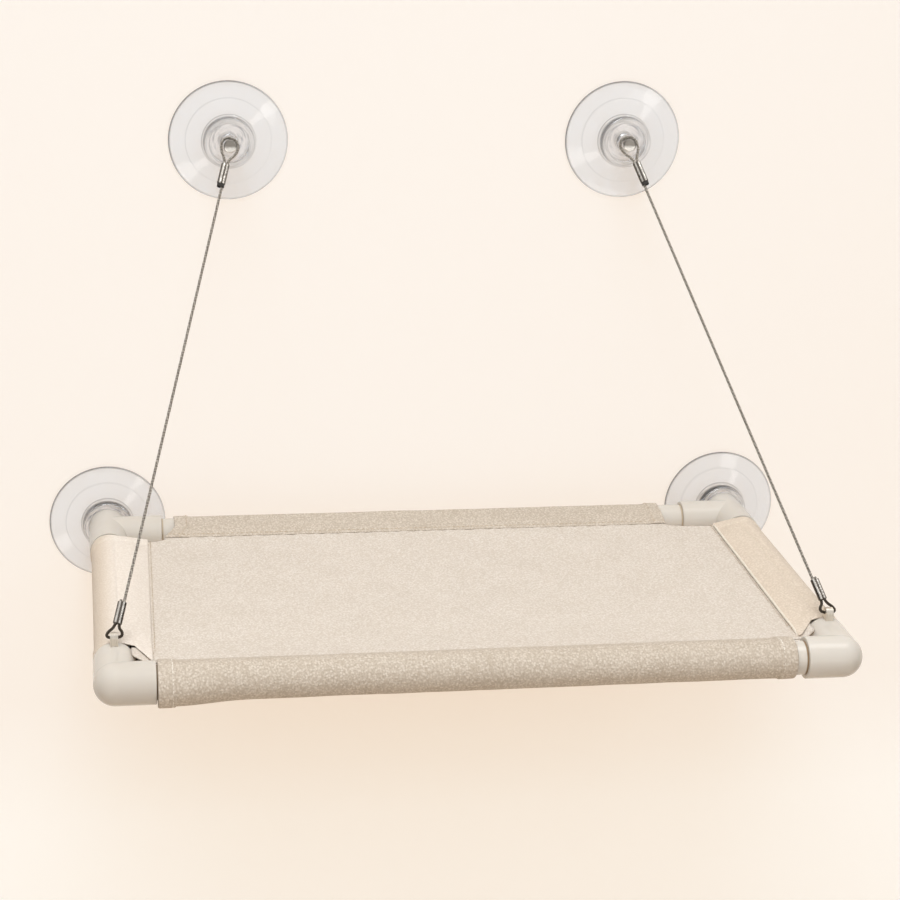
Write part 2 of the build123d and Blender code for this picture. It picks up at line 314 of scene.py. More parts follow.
def set_sockets(tree, shader, **values):
    """Sets or links a shader's inputs; an underscore stands for a space in a socket's name."""
    for name, value in values.items():
        put(tree, shader.inputs[name.replace("_", " ")], value)


# Plastic of the pipes and the moulded fittings
PIPE_WHITE, PIPE_SHADE = paint(216, 210, 201), paint(208, 201, 191)
MOULD_WHITE, MOULD_SHADE = paint(215, 209, 200), paint(208, 201, 191)
PLASTIC_GLOSS, SCUFFED = 0.14, 0.08  # roughness, and what scuffs add to it
RIM_LINE, RIM_SOFT = 0.8 * MM, 0.5 * MM  # half width of the painted shadow line at a fitting's rim
RIM_OUT = 0.4 * MM  # from the rim to the middle of that painted shadow line
RIM_PAINTED_SHADOWS = {  # on each cross rail: where the painted shadow line lies, and its colour
    "front": (cad_span("front_right_elbow", X)[0] - RIM_OUT, paint(146, 124, 98)),
    "rear": (cad_span("rear_right_tee", X)[0] - RIM_OUT, paint(186, 170, 148))}


def plastic(name, light, shade, rim=None, rim_painted_shadow=None):
    """Off-white plastic: faint clouds of colour, a soft gloss, and a painted shadow line at a fitting's rim."""
    made, tree, shader = material(name)
    where = place(tree)
    colour = between(tree, patches(tree, where, 18.0, 3.0, 0.15), light, shade)
    if rim:
        across = sums(tree, "ABSOLUTE", axes_of(tree, where)[X])
        # painted contact shadow where the rail meets a fitting's mouth
        colour = between(tree, band(tree, across, rim, RIM_LINE, RIM_SOFT), colour, rim_painted_shadow)
    scuffs = patches(tree, where, 160.0, 3.0, roughness=0.6)
    gloss = between(tree, scuffs, PLASTIC_GLOSS, PLASTIC_GLOSS + SCUFFED)
    bumped(tree, shader, noise(tree, where, 60.0, 1.0), 0.2 * MM)
    set_sockets(tree, shader, Base_Color=colour, Roughness=gloss, Specular_IOR_Level=0.3,
                Subsurface_Weight=0.08, Subsurface_Scale=1.0, Subsurface_Radius=(4 * MM, 3 * MM, 2 * MM))
    return made


# Metals
METAL_GRAIN = (900.0, 900.0, 120.0)  # streaks per metre along each axis
LOOP_TOP, LOW_DARK_FADE = 32 * MM, 2 * MM  # height below which the wire is darker, and the fade there
# painted reflection on the peg head: the pale floor below, the dark room above
HEAD_PAINTED_FLOOR, HEAD_PAINTED_ROOM = paint(240, 238, 234), paint(150, 146, 140)
FERRULE_HALF_WIDTH = 3.5 * MM
# painted highlight and painted dark reflection of the ferrules; crimp patches also darken toward the dark one
FERRULE_PAINTED_HIGHLIGHT, FERRULE_CRIMP_AND_PAINTED_DARK = paint(228, 224, 217), paint(98, 92, 85)
FERRULE_PAINTED_STRIPES = [  # painted reflection bands, from the middle groove to the edge
    (0.0, FERRULE_CRIMP_AND_PAINTED_DARK), (0.16, FERRULE_CRIMP_AND_PAINTED_DARK), (0.34, FERRULE_PAINTED_HIGHLIGHT), (0.58, FERRULE_PAINTED_HIGHLIGHT),
    (0.8, FERRULE_CRIMP_AND_PAINTED_DARK), (1.0, FERRULE_CRIMP_AND_PAINTED_DARK)]


def plated_metal(name, light, shade, roughness):
    """Plated steel with fine streaks, darker where they are rougher."""
    made, tree, shader = material(name)
    streaks = patches(tree, place(tree, METAL_GRAIN), 1.0, 3.0, roughness=0.6)
    bumped(tree, shader, streaks, 0.04 * MM)
    set_sockets(tree, shader, Base_Color=between(tree, streaks, light, shade),
                Roughness=between(tree, streaks, roughness, roughness + 0.12), Metallic=1.0)
    return made


def wire_rope_metal(name, light, shade, dark, low_dark):
    """Wire rope: a painted highlight on the crowns of its strands, painted shade between them, darker low down."""
    made, tree, shader = material(name)
    streaks = patches(tree, place(tree, 900.0), 1.0, 3.0, roughness=0.6)
    # painted highlight on the strands' crowns, painted shade between them
    painted_crown_light = node(tree, "ShaderNodeAttribute", attribute_name="painted_crown_light").outputs["Fac"]
    strands = between(tree, painted_crown_light, dark, between(tree, streaks, light, shade))
    # darker below LOOP_TOP
    lower_share = ramp(tree, axes_of(tree, place(tree))[Z], LOOP_TOP + LOW_DARK_FADE, LOOP_TOP - LOW_DARK_FADE)
    colour = between(tree, lower_share, strands, low_dark)
    set_sockets(tree, shader, Base_Color=colour, Roughness=0.36, Metallic=1.0)
    return made


def painted_reflection_head(name, height):
    """Polished peg head with a painted reflection: the dark of the room on its upper half, the pale floor on its
    lower.
    """
    made, tree, shader = material(name)
    where = place(tree)
    waves = times(tree, noise(tree, where, 320.0, 2.0), 2.4 * MM)
    wavy_height = sums(tree, "ADD", axes_of(tree, where)[Z], waves)
    # painted reflection: bright below the peg's middle, dark above, with a wavy border
    share = ramp(tree, wavy_height, height - 0.6 * MM, height + 1.6 * MM)
    colour = between(tree, share, HEAD_PAINTED_FLOOR, HEAD_PAINTED_ROOM)
    set_sockets(tree, shader, Base_Color=colour, Roughness=0.22, Metallic=1.0)
    return made


def ferrule_painted_stripes(name, foot, beside):
    """Polished oval sleeve with painted reflections: dark along its edges and middle groove, bright between them.
    """
    made, tree, shader = material(name)
    sideways = vector_sums(tree, "DOT_PRODUCT", place(tree), tuple(beside))
    across = sums(tree, "SUBTRACT", sideways, foot.dot(beside))
    across = sums(tree, "ABSOLUTE", sums(tree, "DIVIDE", across, FERRULE_HALF_WIDTH))
    # painted reflection bands across the sleeve
    painted_stripes = colour_bands(tree, across, FERRULE_PAINTED_STRIPES)
    crimps = patches(tree, place(tree), 420.0, 2.0, 0.15)
    dulled = times(tree, crimps, 0.35)
    bumped(tree, shader, crimps, 0.12 * MM)
    set_sockets(tree, shader, Base_Color=between(tree, dulled, painted_stripes, FERRULE_CRIMP_AND_PAINTED_DARK),
                Roughness=between(tree, crimps, 0.2, 0.32), Metallic=1.0)
    return made


# Clear plastic of the suction cups
VINYL, VINYL_SHADOW = (0.86, 0.877, 0.896, 1), (0.93, 0.93, 0.93, 1)
# colour of the painted reflection streaks in the hub
HUB_PAINTED_REFLECTION = (0.2, 0.22, 0.26, 1)
CUP_RADIUS = (cad_span("upper_right_cup", X)[1] - cad_span("upper_right_cup", X)[0]) / 2
CUP_PAINTED_LINES = [  # distance from the axis in mm, and how much light the painted shade lines there let through
    (0, 0.9), (7.2, 0.8), (7.9, 0.5), (9, 0.97), (16, 0.97), (16.8, 0.5), (17.8, 0.95), (20.0, 0.9),
    (20.9, 0.6), (21.3, 0.16), (21.8, 0.2), (22.3, 1), (35.8, 1), (36.5, 0.84), (37.2, 1), (49.0, 1),
    (49.8, 0.66), (50.4, 0.34), (51, 0.24)]
HUB_RADIUS, HUB_SOFT = 20.6 * MM, 1.5 * MM


def painted_cup_lines(tree, radius, across, upward):
    """Painted shade lines round the cup's axis at its steps and rims, fainter toward the lower right."""
    stops = [(distance * MM / CUP_RADIUS, (clearness, clearness, clearness, 1))
             for distance, clearness in CUP_PAINTED_LINES]
    rings = colour_bands(tree, sums(tree, "DIVIDE", radius, CUP_RADIUS), stops)
    # the painted lines fade toward the lower right, away from the light
    lean = sums(tree, "DIVIDE", sums(tree, "SUBTRACT", upward, across), CUP_RADIUS)
    return between(tree, ramp(tree, lean, 0.9, -0.9, 0.0, 0.7), rings, (1, 1, 1, 1))


def hub_painted_reflections(tree, radius, across, upward):
    """Painted dark reflection streaks that run round and through the thick hub."""
    turned = node(tree, "ShaderNodeCombineXYZ", {
        X: sums(tree, "DIVIDE", across, radius), Y: sums(tree, "DIVIDE", upward, radius),
        Z: times(tree, radius, 420.0)})
    clear = ramp(tree, noise(tree, turned, 1.0, 3.0, 0.65), 0.36, 0.5)
    inside = ramp(tree, radius, HUB_RADIUS, HUB_RADIUS - HUB_SOFT)
    return times(tree, sums(tree, "SUBTRACT", 1.0, clear), inside)


def clear_vinyl(name, x, z, painted_streak_strength):
    """Soft clear plastic, a little milky, with painted shade lines at its rims and painted reflections in its hub.
    """
    made, tree, shader = material(name)
    where = place(tree)
    axes = axes_of(tree, where)
    across, upward = sums(tree, "SUBTRACT", axes[X], x), sums(tree, "SUBTRACT", axes[Z], z)
    squares = [times(tree, part, part) for part in (across, upward)]
    radius = sums(tree, "SQRT", sums(tree, "ADD", *squares))
    # painted reflection streaks in the hub, then painted shade lines at the steps and rims
    painted_streaks = times(tree, hub_painted_reflections(tree, radius, across, upward), painted_streak_strength)
    toned = between(tree, painted_streaks, VINYL, HUB_PAINTED_REFLECTION)
    tinted = between(tree, 1.0, toned, painted_cup_lines(tree, radius, across, upward), "MULTIPLY")
    gloss = between(tree, patches(tree, where, 45.0), 0.03, 0.07)
    set_sockets(tree, shader, Base_Color=tinted, Roughness=gloss, Transmission_Weight=0.9, IOR=1.46)
    bumped(tree, shader, noise(tree, where, 70.0, 1.0), 0.2 * MM)
    clear = node(tree, "ShaderNodeBsdfTransparent", {"Color": VINYL_SHADOW})
    lamps = node(tree, "ShaderNodeLightPath").outputs["Is Shadow Ray"]
    mixed = node(tree, "ShaderNodeMixShader", {0: lamps, 1: shader, 2: clear})
    put(tree, tree.nodes["Material Output"].inputs["Surface"], mixed)
    return made


# Cloth and thread
THREAD_PITCH, PEBBLE = 0.9 * MM, 2.0 * MM
SLUB_LONG, SLUB_SHORT = 150.0, 820.0  # slubs per metre along a thread and across it
# where a painted shade on a side sleeve's outer side begins and is full, and its share
PAINTED_SHADE_FROM, PAINTED_SHADE_FULL, PAINTED_SHADE_SHARE = RAIL_X - 4 * MM, RAIL_X + 9 * MM, 0.6


def weave(name, light, shade, contrast, depth, outside=None):
    """Plain-weave cloth on the piece's own map; outside is a painted shade on the outer side of the frame."""
    made, tree, shader = material(name)
    cloth = place(tree, 1 / THREAD_PITCH, "UV")
    drift = node(tree, "ShaderNodeTexNoise", {"Vector": cloth, "Scale": 0.16, "Detail": 2.0})
    shift = vector_sums(tree, "SCALE", drift.outputs["Color"], scale=2.2)
    threads = axes_of(tree, vector_sums(tree, "ADD", cloth, shift))
    warp, weft = [sums(tree, "ABSOLUTE", sums(tree, "SINE", times(tree, threads[way], pi)))
                  for way in (X, Y)]
    raised = sums(tree, "MAXIMUM", warp, weft)
    flat_map = place(tree, 1.0, "UV")
    cells = node(tree, "ShaderNodeTexVoronoi", {"Vector": flat_map, "Scale": 1 / PEBBLE, "Randomness": 0.9})
    pebbles = ramp(tree, cells.outputs["Distance"], 0.62, 0.12)
    flecks = patches(tree, flat_map, 700.0, 1.0, 0.16, 0.6)
    mottle = patches(tree, flat_map, 240.0)
    clouds = patches(tree, flat_map, 30.0, 3.0)
    warp_slubs = noise(tree, place(tree, (SLUB_SHORT, SLUB_LONG, 1.0), "UV"), 1.0)
    weft_slubs = noise(tree, place(tree, (SLUB_LONG, SLUB_SHORT, 1.0), "UV"), 1.0)
    slubs = ramp(tree, sums(tree, "ADD", warp_slubs, weft_slubs), 0.75, 1.25)
    tone = 0.0
    for layer, share in ((pebbles, 0.44), (flecks, 0.26), (mottle, 0.06), (slubs, 0.08), (raised, 0.08),
                         (clouds, 0.08)):
        tone = sums(tree, "ADD", tone, times(tree, layer, share))
    colour = between(tree, ramp(tree, tone, 0.5 - 0.5 / contrast, 0.5 + 0.5 / contrast), shade, light)
    if outside:
        # painted shade on the outer side of the rail, where the cloth turns away from the light
        across = sums(tree, "ABSOLUTE", axes_of(tree, place(tree))[X])
        turned = ramp(tree, across, PAINTED_SHADE_FROM, PAINTED_SHADE_FULL, 0.0, PAINTED_SHADE_SHARE)
        colour = between(tree, turned, colour, outside)
    bumped(tree, shader, sums(tree, "ADD", pebbles, times(tree, flecks, 0.5)), depth)
    set_sockets(tree, shader, Base_Color=colour, Roughness=0.92, Specular_IOR_Level=0.25,
                Sheen_Weight=0.12, Sheen_Roughness=0.5)
    return made


def thread(name, colour, roughness=0.8):
    made, tree, shader = material(name)
    shade = tuple(part * 0.82 for part in colour[:3]) + (1,)
    linty = between(tree, patches(tree, place(tree), 900.0), shade, colour)
    set_sockets(tree, shader, Base_Color=linty, Roughness=roughness, Sheen_Weight=0.15)
    return made


steel = plated_metal("plated_steel", paint(232, 225, 214), paint(208, 200, 188), 0.34)
# wire colours: light and shade of its streaks, the painted shade between strands, and the darker low part
wire_steel = wire_rope_metal("wire_steel", paint(238, 233, 224), paint(205, 199, 190), paint(132, 126, 118),
                             paint(92, 84, 75))
# one cloth in four tones for the light on each part: the rolls painted darker as shade, the left sleeve painted
# lighter as light with a painted outer shade, the right sleeve toned to its own light
deck_weave = weave("deck_weave", paint(236, 229, 221), paint(203, 191, 177), 1.3, 0.2 * MM)
shaded_roll_weave = weave("shaded_roll_weave", paint(231, 221, 208), paint(180, 166, 149), 1.25, 0.3 * MM)
lit_left_weave = weave("lit_left_weave", paint(246, 238, 229), paint(224, 213, 201), 1.2, 0.16 * MM,
                   paint(212, 194, 172))
right_weave = weave("right_weave", paint(238, 225, 210), paint(209, 194, 176), 1.2, 0.16 * MM)
piping_weave = thread("piping_weave", paint(240, 231, 218))
seam_thread = thread("seam_thread", paint(206, 188, 164))
hem_thread = thread("hem_thread", paint(250, 244, 234))

SLOT_FINISHES = {
    "pipe_plastic": plastic("pipe_plastic", PIPE_WHITE, PIPE_SHADE),
    "fitting_plastic": plastic("fitting_plastic", MOULD_WHITE, MOULD_SHADE),
    "plated_steel": steel,
    "black_rubber": thread("collar_rubber", paint(38, 34, 30), 0.5),
    "wire_rope": wire_steel,
    "sling_fabric": deck_weave,
    "piping_cord": piping_weave,
}


def own_finishes():
    """Finishes that follow a node's own place, on the ferrules, cups, peg heads and cross rails."""
    finishes = {}
    for side, sign in SIDES:
        eye, peg, _, beside_eye, beside_peg = cable_axes(side, sign)
        for end, foot, beside in (("lower", eye, beside_eye), ("upper", peg, beside_peg)):
            name = side + "_" + end + "_ferrule"
            finishes[name] = ferrule_painted_stripes(name + "_metal", foot, beside)
        # the last number is how strong the painted hub reflections are
        for level, x, z, painted_streak_strength in (("upper", peg.x, peg.z, 0.5), ("lower", sign * RAIL_X, 0, 1.0)):
            name = level + "_" + side
            finishes[name + "_cup"] = clear_vinyl(name + "_vinyl", x, z, painted_streak_strength)
        finishes["upper_" + side + "_peg"] = painted_reflection_head(side + "_painted_reflection_head", peg.z)
    # the cross rails carry the painted shadow lines at the fittings' mouths
    for end, (rim, rim_painted_shadow) in RIM_PAINTED_SHADOWS.items():
        finishes[end + "_rail"] = plastic(end + "_pipe_plastic", PIPE_WHITE, PIPE_SHADE, rim, rim_painted_shadow)
    return finishes


def dress_frame():
    own = own_finishes()
    for part in frame["record"]["subparts"]:
        mesh = nodes[part["node"]].data
        mesh.materials.clear()
        mesh.materials.append(own.get(part["node"]) or SLOT_FINISHES[part["material_slot"]])


dress_frame()


# Cables: laid strands round a core, along the route's spline
WIRE_LAY = 10.5 * MM  # length of one turn of the strands
WIRE_BAND = 4.2 * MM  # from one painted highlight on the crowns of the twist to the next
WIRE_STRANDS = 6
STRAND_RADIUS = WIRE_DIAMETER / 6
STRAND_STEP = 0.6 * MM
STRAND_SIDES = 6


def strands_tree():
    tree, given = geometry_tree("laid_strands", [
        ("Strand radius", "Float"), ("Lay radius", "Float"), ("Lay", "Float"), ("Strands", "Int"),
        ("Sides", "Int"), ("Step", "Float")])
    curve = node(tree, "GeometryNodeMeshToCurve", {"Mesh": given["Line"]})
    even = node(tree, "GeometryNodeResampleCurve", {"Curve": curve, "Length": given["Step"]},
                mode="LENGTH")
    copies = node(tree, "GeometryNodeDuplicateElements",
                  {"Geometry": even, "Amount": given["Strands"]}, domain="SPLINE").outputs
    run = node(tree, "GeometryNodeSplineParameter").outputs["Length"]
    turns = sums(tree, "ADD", sums(tree, "DIVIDE", run, given["Lay"]),
                 sums(tree, "DIVIDE", copies["Duplicate Index"], given["Strands"]))
    angle = times(tree, turns, tau)
    normal = node(tree, "GeometryNodeInputNormal")
    tangent = node(tree, "GeometryNodeInputTangent")
    across = vector_sums(tree, "CROSS_PRODUCT", tangent, normal)
    offset = vector_sums(tree, "ADD",
                         vector_sums(tree, "SCALE", normal, scale=sums(tree, "COSINE", angle)),
                         vector_sums(tree, "SCALE", across, scale=sums(tree, "SINE", angle)))
    offset = vector_sums(tree, "SCALE", offset, scale=given["Lay radius"])
    laid = node(tree, "GeometryNodeSetPosition", {"Geometry": copies["Geometry"], "Offset": offset})
    # painted highlight along the crowns of the twist and painted shade between them, stored for the material
    turned = sums(tree, "ADD", times(tree, sums(tree, "DIVIDE", run, WIRE_BAND), tau), angle)
    painted_crown_light = sums(tree, "ADD", 0.5, times(tree, sums(tree, "SINE", turned), 0.5))
    marked = node(tree, "GeometryNodeStoreNamedAttribute",
                  {"Geometry": laid, "Name": "painted_crown_light"}, data_type="FLOAT", domain="POINT")
    put(tree, next(socket for socket in marked.inputs if socket.enabled and socket.name == "Value"), painted_crown_light)
    both = node(tree, "GeometryNodeJoinGeometry")
    put(tree, both.inputs[0], even)
    put(tree, both.inputs[0], marked)
    section = node(tree, "GeometryNodeCurvePrimitiveCircle",
                   {"Resolution": given["Sides"], "Radius": given["Strand radius"]})
    tubes = node(tree, "GeometryNodeCurveToMesh", {
        "Curve": both, "Profile Curve": section, "Fill Caps": True})
    end_tree(tree, tubes, given["Finish"])
    return tree


laid_strands = strands_tree()


def add_cable(side, sign):
    points = cable_route(side, sign)
    rope = linked(side + "_wire_rope", spline_line(side + "_wire_route", points))
    grown(rope, laid_strands, {
        "Strand radius": STRAND_RADIUS, "Lay radius": 2 * STRAND_RADIUS, "Lay": WIRE_LAY,
        "Strands": WIRE_STRANDS, "Sides": STRAND_SIDES, "Step": STRAND_STEP, "Finish": wire_steel})
    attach(rope, side + "_cable_link")
    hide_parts(side + "_cable")


for side, sign in SIDES:
    add_cable(side, sign)


# Sling: one woven cloth, as a deck and four sleeves, each a sheet round its rail with a hem at both ends
CLOTH, DECK_THICKNESS = 0.85 * MM, 1.1 * MM
ROLL_RADIUS = 14.35 * MM  # face of the cloth, from a rail's axis
SEAM_HEIGHT = cad_middle("sling_panel", Z)
DECK_FRONT_Y, DECK_REAR_Y = cad_span("sling_panel", Y)
SIDE_FRONT_Y, SIDE_REAR_Y = cad_span("right_sleeve", Y)
FRONT_INSET, REAR_INSET = DECK_FRONT_Y - FRONT_Y, REAR_Y - DECK_REAR_Y  # from rail to seam
SEAM_FRONT_X, SEAM_REAR_X = 252 * MM, {-1: 247.5 * MM, 1: 253.5 * MM}  # side seams, from the middle
SIDE_FULLNESS, FRONT_FULLNESS, REAR_FULLNESS = 3.0 * MM, 0.5 * MM, 1.2 * MM
FULLNESS_EASE, LONG_SWEEP = 32 * MM, 10 * MM  # an end with a long sweep lies flat at first

# A sweep is how far a sleeve's end reaches out at the seam, and where round the rail it eases off
SIDE_SWEEP = {-1: (25.5 * MM, 0, 12.5 * MM), 1: (22 * MM, 2 * MM, 16.6 * MM)}
FRONT_SWEEP, REAR_SWEEP = (0, 0, 16.6 * MM), (9 * MM, 0, 16.6 * MM)
SWEEP_RUN = 45 * MM
FRONT_FLARE, FLARE_RUN = 3.4 * MM, 76 * MM  # the front sleeve's left end hangs wide
FLARE_TOP, FLARE_DEPTH = 0.8 * ROLL_RADIUS, 1.2 * ROLL_RADIUS

HEM, HEM_RISE, HEM_STEP = 12.2 * MM, 0.8 * MM, 1 * MM
EDGE_TUCK, EDGE_RUN = 0.45 * MM, 0.8 * MM  # a hem's folded edge is rounded
STITCH_PULL, STITCH_WIDTH = 0.22 * MM, 0.5 * MM
SEAM_RIDGE, RIDGE_AT, RIDGE_WIDTH = 0.2 * MM, 1.8 * MM, 1.0 * MM
HEM_STITCH = 10.4  # mm from the end; one of the stations
END_STATIONS = [0, 0.35, 0.8, 1.5, 2.6, 4, 6, 8, 9.4, 10, HEM_STITCH, 10.8, 11.4, 12, 12.6, 13.2, 14.4,
                16.4, 19, 22, 25.5, 29.5, 34]
MID_STATION = 5 * MM
FLAT_STEPS, ARC_STEPS, FLAT_CROWDING = 26, 44, 1.15
LAYER_APART = 0.75 * CLOTH  # from a seam to each of a sleeve's two layers

# Unevenness of the sleeves: heights, and the lengths over which they vary and fade
SLEEVE_RIPPLES = [(0.25 * MM, 28 * MM), (0.10 * MM, 9 * MM)]
GATHER, GATHER_LENGTH, GATHER_RUN, GATHER_FROM_SEAM = 0.35 * MM, 6 * MM, 16 * MM, 5 * MM

# Stitches: pitch, length, radius and thread
SEAM_STITCHES = (4.2 * MM, 3.0 * MM, 0.33 * MM, seam_thread)
DECK_STITCHES = (3.4 * MM, 2.2 * MM, 0.33 * MM, seam_thread)
SIDE_HEM_STITCHES = (3.0 * MM, 2.4 * MM, 0.33 * MM, seam_thread)
FRONT_HEM_STITCHES = (3.0 * MM, 3.6 * MM, 0.6 * MM, hem_thread)
REAR_HEM_STITCHES = (3.0 * MM, 2.2 * MM, 0.3 * MM, seam_thread)


def smooth_step(value):
    value = min(1, max(0, value))
    return value * value * (3 - 2 * value)


def bump_at(distance, middle, width):
    return exp(-((distance - middle) / width) ** 2)


def sheet_piece(name, rows, finish, thickness, outward):
    """Rows of (point, map place) pairs as one sheet of cloth with a thickness below its face."""
    width = len(rows[0])
    points = [point for row in rows for point, _ in row]
    maps = [at for row in rows for _, at in row]
    faces = [(corner, corner + 1, corner + width + 1, corner + width)
             for first in range(0, len(points) - width, width)
             for corner in range(first, first + width - 1)]
    first, second, third, fourth = (points[corner] for corner in faces[len(faces) // 2])
    if (third - first).cross(fourth - second).dot(outward) < 0:
        faces = [face[::-1] for face in faces]
    mesh = bpy.data.meshes.new(name)
    mesh.from_pydata(points, [], faces)
    layer = mesh.uv_layers.new(name="cloth")
    for loop in mesh.loops:
        layer.data[loop.index].uv = maps[loop.vertex_index]
    mesh.polygons.foreach_set("use_smooth", [True] * len(mesh.polygons))
    mesh.materials.append(finish)
    sheet = linked(name, mesh)
    solid = sheet.modifiers.new("cloth", "SOLIDIFY")
    solid.thickness = thickness
    solid.offset = -1
    return sheet


def stations(length):
    ends = [station * MM for station in END_STATIONS]
    count = max(1, round((length - 2 * ends[-1]) / MID_STATION))
    middle = [ends[-1] + (length - 2 * ends[-1]) * step / count for step in range(1, count)]
    return ends + middle + [length - end for end in reversed(ends)]


def drop_profile(inset, fullness=0.0):
    """Places round the rail from a seam's upper layer to its lower, with their outward turns and runs."""
    toward = atan2(SEAM_HEIGHT, inset)
    spread = acos(ROLL_RADIUS / hypot(inset, SEAM_HEIGHT))
    start, end = [Vector((inset, SEAM_HEIGHT + apart)) for apart in (LAYER_APART, -LAYER_APART)]
    first, last = toward + spread, toward - spread + tau
    upper, lower = [Vector((cos(angle), sin(angle))) * ROLL_RADIUS for angle in (first, last)]
    outside = Vector((upper.y - start.y, start.x - upper.x)).normalized()
    shares = [(step / FLAT_STEPS) ** FLAT_CROWDING for step in range(FLAT_STEPS)]
    places = [start.lerp(upper, share) + outside * fullness * sin(pi * share) for share in shares]
    for step in range(ARC_STEPS + 1):
        angle = first + (last - first) * step / ARC_STEPS
        radius = ROLL_RADIUS + 0.35 * fullness * bump_at(angle, first, 0.5)
        places.append(Vector((cos(angle), sin(angle))) * radius)
    places += [end.lerp(lower, share) for share in reversed(shares)]
    runs = [0.0]
    for before, after in zip(places, places[1:]):
        runs.append(runs[-1] + (after - before).length)
    turns = []
    for index in range(len(places)):
        along = places[min(index + 1, len(places) - 1)] - places[max(index - 1, 0)]
        turns.append(Vector((along.y, -along.x)).normalized())
    return places, turns, runs


def hem_rise(from_end):
    """The doubled cloth of a hem, round at its folded edge and pulled in along its stitching."""
    rise = HEM_RISE * (1 - smooth_step((from_end - HEM) / HEM_STEP + 0.5))
    rise -= EDGE_TUCK * max(0, 1 - from_end / EDGE_RUN) ** 2
    return rise - STITCH_PULL * bump_at(from_end, HEM_STITCH * MM, STITCH_WIDTH)


def cloth_ripple(at, station, so_far, from_end, seam):
    """Slanting gathers toward the ends, and the slow unevenness of cloth pulled over a rail."""
    slant = Vector((station * 0.8 + so_far * 0.7, so_far * 0.2, 0)) / GATHER_LENGTH
    gathers = GATHER * ripple(slant) * exp(-from_end / GATHER_RUN) * smooth_step(seam / GATHER_FROM_SEAM)
    return gathers + sum(height * ripple(at / length) for height, length in SLEEVE_RIPPLES)


def sleeve_rows(start, run, inward, length, insets, fullness, sweep, flare=0):
    """Cloth round a rail, with the seam's inset at the two ends, and a flare low at the first end."""
    reach_out, ease_from, ease_to = sweep
    rows = []
    for station in stations(length):
        from_end = min(station, length - station)
        inset = insets[0] + (insets[1] - insets[0]) * station / length
        ease = smooth_step(from_end / FULLNESS_EASE) if reach_out > LONG_SWEEP else 1
        places, turns, runs = drop_profile(inset, fullness * ease)
        swept = reach_out * max(0, 1 - from_end / SWEEP_RUN) if station < length / 2 else 0
        row = []
        for place_at, turn, so_far in zip(places, turns, runs):
            seam = min(so_far, runs[-1] - so_far)
            rise = hem_rise(from_end)
            if so_far < runs[-1] / 2:
                rise += SEAM_RIDGE * bump_at(seam, RIDGE_AT, RIDGE_WIDTH)
            low = smooth_step((FLARE_TOP - place_at.y) / FLARE_DEPTH)
            rise += flare * low * (1 - smooth_step(station / FLARE_RUN))
            along = station - swept * min(1, max(0, (ease_to - so_far) / (ease_to - ease_from)))
            at = start + run * along + inward * place_at.x + Vector((0, 0, place_at.y))
            rise += cloth_ripple(at, station, so_far, from_end, seam)
            face = inward * turn.x + Vector((0, 0, turn.y))
            row.append((at + face * rise, (along, so_far)))
        rows.append(row)
    return rows


# Deck: its cut-outs at the tees, its tabs at the elbows, its sag and its gathers
DECK_SAG, SAG_SQUARENESS, SEAM_LIFT = 5 * MM, 2.6, 0.2 * MM
DECK_REAR_END = {-1: 232 * MM, 1: cad_span("rear_sleeve", X)[1]}  # where its rear edge curves away
CUT_OUT_DEPTH = DECK_REAR_Y - SIDE_REAR_Y + 1 * MM
SEAM_COVER = 1.2 * MM  # cloth past the side seam
TAB_X, TAB_SLOPE = 267 * MM, 0.22  # the tabs at the elbows rise toward the side arms
TAB_START, TAB_STRAIGHT, TAB_CURVE, TAB_NARROWING = 1.5 * MM, 14 * MM, 11 * MM, 8 * MM
TABS_FROM = SIDE_FRONT_Y + 2 * MM
DECK_ACROSS, DECK_ALONG = 96, 46
DECK_SWELL, SWELL_LENGTH, SWELL_STRETCH = 0.9 * MM, 55 * MM, 1.6
DECK_RIPPLE, RIPPLE_LENGTH = 0.35 * MM, 17 * MM
LOOSE_FROM_EDGE = 14 * MM
END_PUCKER, END_PUCKER_PITCH, SIDE_PUCKER, SIDE_PUCKER_PITCH = 0.28 * MM, 2.1 * MM, 0.25 * MM, 2.3 * MM
PUCKER_DEPTH, PUCKER_WANDER, PUCKER_FROM_CORNER = 6 * MM, 20 * MM, 20 * MM

# Rows of the deck that lie close together, in mm from its rear edge and from where the tabs begin
REAR_STEPS = (0, 0.5, 1.2, 2, 3, 4, 5, 6, 7, 7.6, 8.2, 8.6, 8.8, 9, 10, 12, 15, 19, 24)
TAB_STEPS = (1.5, 2, 2.5, 3, 3.5, 5, 7, 10, 13, 16, 19, 22, 24, 26, 27.5)


def seam_x(sign, y):
    share = (y - SIDE_FRONT_Y) / (SIDE_REAR_Y - SIDE_FRONT_Y)
    return SEAM_FRONT_X + (SEAM_REAR_X[sign] - SEAM_FRONT_X) * share


def deck_edge(sign, y):
    """Distance from the middle to the deck's edge, at the tee's cut-out, the seam or the elbow's tab."""
    corner = SEAM_REAR_X[sign]
    below = (DECK_REAR_Y - y) / CUT_OUT_DEPTH
    if below < 1:
        return corner - (corner - DECK_REAR_END[sign]) * sqrt(1 - below * below)
    edge = seam_x(sign, y) + SEAM_COVER
    tab = TAB_X - TAB_NARROWING * smooth_step((SIDE_FRONT_Y - y - TAB_STRAIGHT) / TAB_CURVE)
    return edge + (tab - edge) * smooth_step((SIDE_FRONT_Y - y) / TAB_START)


def puckers(run, pitch, wander_at, from_seam, from_corner):
    """Fine gathers along a seam, which fade away from it and toward the corners."""
    wave = sin(run / pitch + 2 * ripple(wander_at / PUCKER_WANDER))
    return wave * exp(-from_seam / PUCKER_DEPTH) * smooth_step(from_corner / PUCKER_FROM_CORNER)


